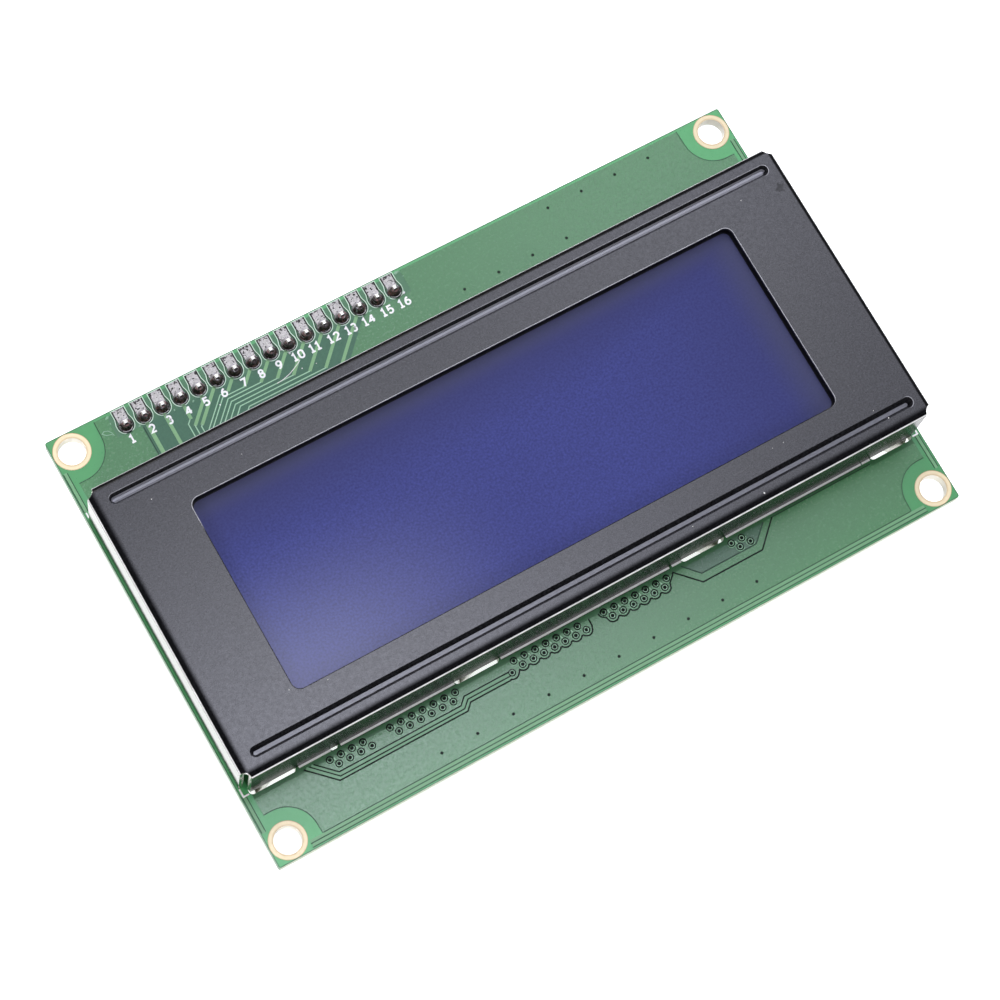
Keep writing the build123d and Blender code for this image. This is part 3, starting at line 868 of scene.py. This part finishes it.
digit_stroke = 0.24
digit_gap = 0.36
label_base = 25.05
label_places = (-39.2, -36.4, -34.0, -31.4, -28.9, -26.4, -23.6, -21.1,
                -18.6, -15.9, -13.5, -10.8, -8.3, -5.8, -3.1, -0.6)
upper = (0.3, 0.7)
lower = (0.3, 0.3)
digit_lines = {
    "0": [arc(upper, 0.3, 0, 180) + arc(lower, 0.3, 180, 360) + [(0.6, 0.7)]],
    "1": [[(0.0, 0.78), (0.26, 1.0), (0.26, 0.0)], [(0.0, 0.0), (0.52, 0.0)]],
    "2": [arc(upper, 0.3, 165, -35) + [(0.02, 0.0), (0.62, 0.0)]],
    "3": [arc((0.28, 0.75), 0.25, 150, -90) + arc((0.28, 0.25), 0.25, 90, -150)],
    "4": [[(0.46, 0.0), (0.46, 1.0)], [(0.42, 0.95), (0.0, 0.3), (0.66, 0.3)]],
    "5": [[(0.58, 1.0), (0.08, 1.0), (0.05, 0.54)] + arc((0.28, 0.31), 0.31, 110, -150)],
    "6": [circle(lower, 0.3) + [(0.6, 0.3)], [(0.0, 0.32), (0.06, 0.62), (0.22, 0.87), (0.48, 1.0)]],
    "7": [[(0.0, 1.0), (0.6, 1.0), (0.22, 0.0)]],
    "8": [circle((0.3, 0.75), 0.25) + [(0.55, 0.75)], circle((0.3, 0.28), 0.28) + [(0.58, 0.28)]],
    "9": [circle(upper, 0.3) + [(0.6, 0.7)], [(0.6, 0.68), (0.54, 0.38), (0.38, 0.13), (0.12, 0.0)]],
}


def digit_width(digit):
    return 0.52 if digit == "1" else 0.6


def print_number(name, number, centre_x, base_y, face, out):
    """Prints a number on the board's front face, or mirrored on its back, where out is -1."""
    label = str(number)
    form = bmesh.new()
    across = sum(digit_width(digit) for digit in label) + digit_gap * (len(label) - 1)
    start = -across / 2
    for digit in label:
        for k, line in enumerate(digit_lines[digit]):
            closed = (Vector(line[0]) - Vector(line[-1])).length < 0.001
            points = [(centre_x + out * (start + px), base_y + py) for px, py in line]
            ribbon(form, points[:-1] if closed else points, digit_stroke,
                   face + out * 0.005, face + out * (print_top + 0.004 * k), closed)
        start += digit_width(digit) + digit_gap
    piece_from_form(name, form, white_print)


for i, x in enumerate(label_places):
    print_number(f"printed_number_{i + 1:02d}", i + 1, x, label_base, 0, 1)

# Back of the board: copper areas, traces, via rings, pads and solder of the chip parts, and white print

bead_tin = make_plain("solder_beads", (206, 204, 204), (232, 230, 230), 0.2, 0.2, 0.3, Metallic=0.2)
back = board_low.z
back_copper = back - copper_top
back_line = back - line_top
back_width = 0.3
back_slot_edge = 21.3
rail_y = 17.5
strip_low, strip_high = -18.4, 18.0
covers = [((low + high) / 2).to_2d() for low, high in (box_mm(f"chip_cover_{i}") for i in (1, 2, 3))]
chip_names = [f"chip_resistor_{i}" for i in range(1, 9)] + ["chip_capacitor_1", "chip_capacitor_2"]
chips = [((low + high) / 2).to_2d() for low, high in (box_mm(name) for name in chip_names)]
lead_low, lead_high = box_mm("lead_solder")
lead_x = (lead_low.x + lead_high.x) / 2
leads = [(lead_x, lead_low.y + 0.9), (lead_x, lead_high.y - 0.9)]

back_areas = {
    "left": [[(-pour_x, strip_low), (-pour_x, strip_high), (-40.6, strip_high), (-40.6, strip_low)]]
            + [circle(p, 1.4) for p in leads],
    "right": [[(39.5, strip_low), (39.5, strip_high), (pour_x, strip_high), (pour_x, strip_low)]],
    "upper_left": [top_left + [(-41.6, pour_top), (-41.6, back_slot_edge), (-pour_x, back_slot_edge)]],
    "upper_right": [[(3.0, pour_top)] + list(reversed(top_right))
                    + [(pour_x, back_slot_edge), (3.0, back_slot_edge)]]
                   + [circle(p, stitch_radius, hole_steps) for p in stitch_upper + stitch_middle],
    "lower": [bottom_left + list(reversed(bottom_right))
              + [(pour_x, -back_slot_edge), (25.6, -back_slot_edge), (23.5, -23.4), (-38.6, -23.4),
                 (-40.7, -back_slot_edge), (-pour_x, -back_slot_edge)]]
             + [circle(p, stitch_radius, hole_steps) for p in stitch_lower],
}
for name, area_loops in back_areas.items():
    slab(f"back_copper_{name}", area_loops, back_copper, back, copper_mask)

form = bmesh.new()
for place in ringed:
    ribbon(form, circle(place, 0.32, 20), 0.16, back_line, back, closed=True)
piece_from_form("back_via_rings", form, thin_trace_mask)


def fan_line(form, start, bend_y, end):
    """Adds a trace that runs upright, then aslant at 45 degrees and upright again."""
    toward = math.copysign(1, end[1] - start[1])
    slant_end_y = bend_y + toward * abs(end[0] - start[0])
    line = [start, (start[0], bend_y)]
    if abs(end[0] - start[0]) > 0.05:
        line.append((end[0], slant_end_y))
    if toward * (end[1] - slant_end_y) > 0.05:
        line.append(end)
    ribbon(form, line, back_width, back_line, back)


form = bmesh.new()
first_cover, middle_cover, last_cover = covers
for i, pin in enumerate(pin_places[:8]):
    fan_line(form, (pin.x, pin_row_y - 1.0), 21.0, (first_cover.x + i - 3.5, first_cover.y + 6))
for i, chip in enumerate(chips[:8]):
    fan_line(form, (chip.x + 1.1, chip.y), 10.5, (middle_cover.x + i - 3.5, middle_cover.y + 6))
    ribbon(form, [(chip.x - 1.1, chip.y), (chip.x - 1.1, rail_y)], back_width, back_line, back)
ribbon(form, [(chips[0].x - 1.1, rail_y), (chips[7].x - 1.1, rail_y)], back_width, back_line - 0.003, back)
for group, cover, shift in ((1, first_cover, 0), (2, middle_cover, -4), (3, middle_cover, 4),
                            (4, last_cover, -3)):
    vias = upper_vias(group)
    for i, (x, y) in enumerate(vias):
        end_x = cover.x + shift + i - (len(vias) - 1) / 2
        fan_line(form, (x, y + 0.3), -20.2, (end_x, cover.y - 3.5))
for left, right in ((first_cover, middle_cover), (middle_cover, last_cover)):
    for k in range(9):
        y = left.y + (k - 4) * 0.9
        ribbon(form, [(left.x + 6.5, y), (right.x - 6.5, y)], back_width, back_line, back)
piece_from_form("back_traces", form, trace_mask)

form = bmesh.new()
for x, y in chips:
    for side in (-1, 1):
        ribbon(form, [(x + side * 0.72, y), (x + side * 1.5, y)], 1.4, back_line, back)
piece_from_form("back_chip_pads", form, finishes["tinned_copper"])

form = bmesh.new()
for x, y in chips:
    for side in (-1, 1):
        ends = []
        for across in (-0.58, 0.58):
            corners = ((1.02, back - 0.32), (1.02, back_line), (1.42, back_line))
            ends.append([form.verts.new((x + side * reach, y + across, z)) for reach, z in corners])
        form.faces.new(ends[0])
        form.faces.new(ends[1])
        close_loops(form, *ends)
piece_from_form("back_chip_solder", form, bead_tin)

form = bmesh.new()
for place in covers:
    ribbon(form, circle(place, 8.6, 64), 0.2, back - print_top, back, closed=True)
for x, y in chips:
    outline = [(x - 1.8, y - 1.0), (x + 1.8, y - 1.0), (x + 1.8, y + 1.0), (x - 1.8, y + 1.0)]
    ribbon(form, outline, 0.15, back - print_top, back, closed=True)
piece_from_form("back_printed_outlines", form, white_print)
print_number("back_number_first", 1, pin_places[0].x - 2.0, 27.0, back, -1)
print_number("back_number_last", 16, pin_places[15].x + 2.5, 27.0, back, -1)

# Dust, a fibre, flux marks and solder beads left on the module

blob_sides = 9


def blob(form, place, low, height, radius, length=1.0, angle=0.0):
    """Adds a small uneven lump, longer along an angle in degrees where length is over 1."""
    turn = Matrix.Rotation(math.radians(angle), 2)
    rings = []
    for share, z in ((1.0, low), (0.7, low + height)):
        ring = []
        for k in range(blob_sides):
            reach = radius * share * random.uniform(0.75, 1.2)
            angle_k = k * math.tau / blob_sides
            corner = turn @ Vector((reach * length * math.cos(angle_k), reach * math.sin(angle_k)))
            ring.append(form.verts.new((*(Vector(place) + corner), z)))
        rings.append(ring)
    form.faces.new(rings[0])
    form.faces.new(rings[1])
    close_loops(form, *rings)


dust = make_plain("dust", (226, 226, 222), (244, 244, 240), 0.1, 0.6, 0.8)
flux_and_shade = make_plain("flux_residue", (112, 160, 128), (150, 190, 160), 0.2, 0.3, 0.5)

form = bmesh.new()
for *place, radius in ((24.1, -19.24, 0.1), (14.1, -18.7, 0.07), (43.0, -18.3, 0.09), (41.6, 15.1, 0.06),
                       (29.6, -14.8, 0.06), (28.0, -14.8, 0.05), (-42.0, 15.2, 0.07), (-38.8, -13.1, 0.06),
                       (-34.2, -14.2, 0.06), (-29.8, 15.1, 0.05), (41.8, -16.6, 0.06)):
    blob(form, place, bezel_high.z + 0.002, 0.03, radius)
for *place, radius in ((-27.6, 24.35, 0.09), (-16.3, 23.8, 0.08), (-14.4, 23.55, 0.07)):
    blob(form, place, line_top, 0.04, radius)
piece_from_form("dust_specks", form, dust)

form = bmesh.new()
ribbon(form, [(-20.0, 23.5), (-19.0, 23.62), (-18.0, 23.9), (-17.2, 24.25), (-16.5, 24.6), (-16.0, 24.9)],
       0.09, line_top, line_top + 0.03)
piece_from_form("fibre", form, dust)

form = bmesh.new()
loop = [(-42.2, 27.75), (-41.9, 27.95), (-41.4, 27.8), (-41.1, 27.4), (-40.95, 26.95), (-41.25, 27.2),
        (-41.8, 27.35)]
ribbon(form, loop, 0.1, copper_top, copper_top + 0.02, closed=True)
for x, y, radius, length, angle in ((-40.75, 29.35, 0.2, 1.5, 20), (-40.7, 28.5, 0.11, 1.3, 80),
                                    (-37.6, 26.6, 0.14, 1.6, 30), (-32.9, 26.4, 0.1, 1.5, 60),
                                    (-30.3, 26.35, 0.13, 1.4, 40), (-5.0, 26.5, 0.16, 1.8, 10),
                                    (-2.0, 27.0, 0.13, 1.5, 70), (0.4, 29.5, 0.2, 2.2, 15),
                                    (1.0, 28.7, 0.1, 1.4, 50)):
    blob(form, (x, y), 0.0, copper_top + 0.02, radius, length, angle)
piece_from_form("flux_marks", form, flux_and_shade)

form = bmesh.new()
for pin, shift_x, shift_y, radius in ((10, -1.15, -0.3, 0.13), (10, -0.45, -1.2, 0.14),
                                      (16, 0.95, -0.85, 0.17), (3, -0.1, -1.2, 0.09)):
    x, y = pin_places[pin - 1]
    blob(form, (x + shift_x, y + shift_y), 0.0, 0.14, radius, 1.3, 40)
piece_from_form("solder_beads", form, bead_tin)

# A dark band on the display film, just inside the window: painted shade of the window's edge


def rounded_outline(length, width, radius):
    """A rounded rectangle about the window's centre."""
    line = []
    for start, sx, sy in ((0, 1, 1), (90, -1, 1), (180, -1, -1), (270, 1, -1)):
        centre = (window_mid_x + sx * (length / 2 - radius), window_mid_y + sy * (width / 2 - radius))
        line += arc(centre, radius, start, start + 90, 6)
    return line


film_top = box_mm("front_polarizer")[1].z
shade_band_width = 0.18
outer_loop = rounded_outline(window_length + 1.6, window_width + 1.6, window_radius + 0.8)
inner_loop = rounded_outline(window_length - 2 * shade_band_width, window_width - 2 * shade_band_width,
                             window_radius - shade_band_width)
# Near-black band on the film: painted shade.
window_shade_ink = make_trace_mask("window_shade_ink", (10, 9, 16), (16, 14, 24), Specular_IOR_Level=0.2)
slab("film_window_shade", [outer_loop, inner_loop], film_top + 0.002, film_top + 0.012, window_shade_ink)

# Camera at the photograph's viewing angle, fitted to the board's corners

camera_place = Vector((-0.08716, -0.07434, 0.34499))
camera_target = Vector((-0.00291, -0.00281, 0.0))
camera_up = Vector((0.45172, 0.84522, 0.28558))
camera_data = bpy.data.cameras.new("camera")
camera_data.sensor_width = 36
camera_data.lens = 104.904
camera_data.clip_start = 0.01
camera_data.clip_end = 20
camera = bpy.data.objects.new("camera", camera_data)
bpy.context.scene.collection.objects.link(camera)
backward = (camera_place - camera_target).normalized()
right = camera_up.cross(backward).normalized()
rotation = Matrix((right, backward.cross(right), backward)).transposed()
camera.matrix_world = Matrix.Translation(camera_place) @ rotation.to_4x4()
bpy.context.scene.camera = camera

# Floor, soft box and lights


def lamp(name, place, width, height, power):
    """A warm area light that points at the module."""
    data = bpy.data.lights.new(name, "AREA")
    data.shape = "RECTANGLE"
    data.size = width
    data.size_y = height
    data.energy = power
    data.color = (1.0, 0.98, 0.92)
    holder = bpy.data.objects.new(name, data)
    holder.location = place
    holder.rotation_euler = Vector(place).to_track_quat("Z", "Y").to_euler()
    holder.visible_camera = False
    bpy.context.scene.collection.objects.link(holder)


def studio_sheet(name, z, corners, make_glow):
    """A flat sheet of the studio, whose look comes from make_glow."""
    material = bpy.data.materials.new(name)
    material.use_nodes = True
    material.node_tree.nodes.clear()
    s = Shading(material.node_tree)
    s.add("OutputMaterial", Surface=make_glow(s).outputs[0])
    mesh = bpy.data.meshes.new(name)
    mesh.from_pydata([(x, y, z) for x, y in corners], [], [(0, 1, 2, 3)])
    mesh.materials.append(material)
    sheet = bpy.data.objects.new(name, mesh)
    bpy.context.scene.collection.objects.link(sheet)
    return sheet


def floor_glow(s):
    """Near white to the camera, also where shiny pieces mirror it, over a matte that keeps a soft shadow."""
    rays = s.add("LightPath").outputs
    seen = s.most(*[rays[f"Is {kind} Ray"] for kind in ("Camera", "Glossy", "Transmission")])
    total = s.add("AddShader")
    s.feed(total.inputs[0], s.add("BsdfDiffuse", Color=(0.8, 0.8, 0.8, 1)).outputs[0])
    s.feed(total.inputs[1], s.add("Emission", Color=(1, 1, 1, 1), Strength=s.times(seen, 0.8)).outputs[0])
    return total


def soft_box_glow(s):
    """Two brighter zones, one over each end of the module as the camera sees them mirrored."""
    x, y, _ = s.split(s.add("TexCoord").outputs["Object"])
    level = 1.3
    for middle_x, middle_y, spread_x, spread_y, height in ((0.03, 0.03, 0.075, 0.05, 8.1),
                                                           (0.215, 0.165, 0.05, 0.04, 3.9)):
        off_x = s.math("DIVIDE", s.minus(x, middle_x), spread_x)
        off_y = s.math("DIVIDE", s.minus(y, middle_y), spread_y)
        square = s.plus(s.times(off_x, off_x), s.times(off_y, off_y))
        level = s.plus(s.times(s.math("EXPONENT", s.times(square, -0.5)), height), level)
    return s.add("Emission", Color=(0.98, 1.0, 1.16, 1), Strength=level)


def light_world():
    """White near the horizon and dim above it, as over a white table in a dim room."""
    world = bpy.data.worlds.new("world")
    world.use_nodes = True
    s = Shading(world.node_tree)
    height = s.split(s.add("TexCoord").outputs["Generated"])[2]
    fall = s.add("MapRange", Value=height, From_Min=0.03, From_Max=0.25, To_Min=1.0, To_Max=0.3)
    fall.interpolation_type = "SMOOTHSTEP"
    camera_ray = s.add("LightPath").outputs["Is Camera Ray"]
    background = s.tree.nodes["Background"].inputs
    background["Color"].default_value = (1, 1, 1, 1)
    s.feed(background["Strength"], s.most(fall.outputs["Result"], camera_ray))
    bpy.context.scene.world = world


floor_z = cad_box[0][2]
floor = studio_sheet("floor", floor_z, ((-4, -4), (4, -4), (4, 4), (-4, 4)), floor_glow)
soft_box_z = 0.5
soft_box_corners = ((-0.1, 0.35), (0.4, 0.35), (0.4, -0.05), (-0.1, -0.05))
soft_box = studio_sheet("soft_box", soft_box_z, soft_box_corners, soft_box_glow)
soft_box.visible_camera = False
soft_box.visible_shadow = False
lamp("key", (0.05, 0.62, 0.6), 0.4, 0.3, 2.5)
lamp("fill", (-0.4, -0.45, 0.3), 0.16, 0.12, 1.55)
light_world()
bpy.context.scene.view_settings.view_transform = "Standard"
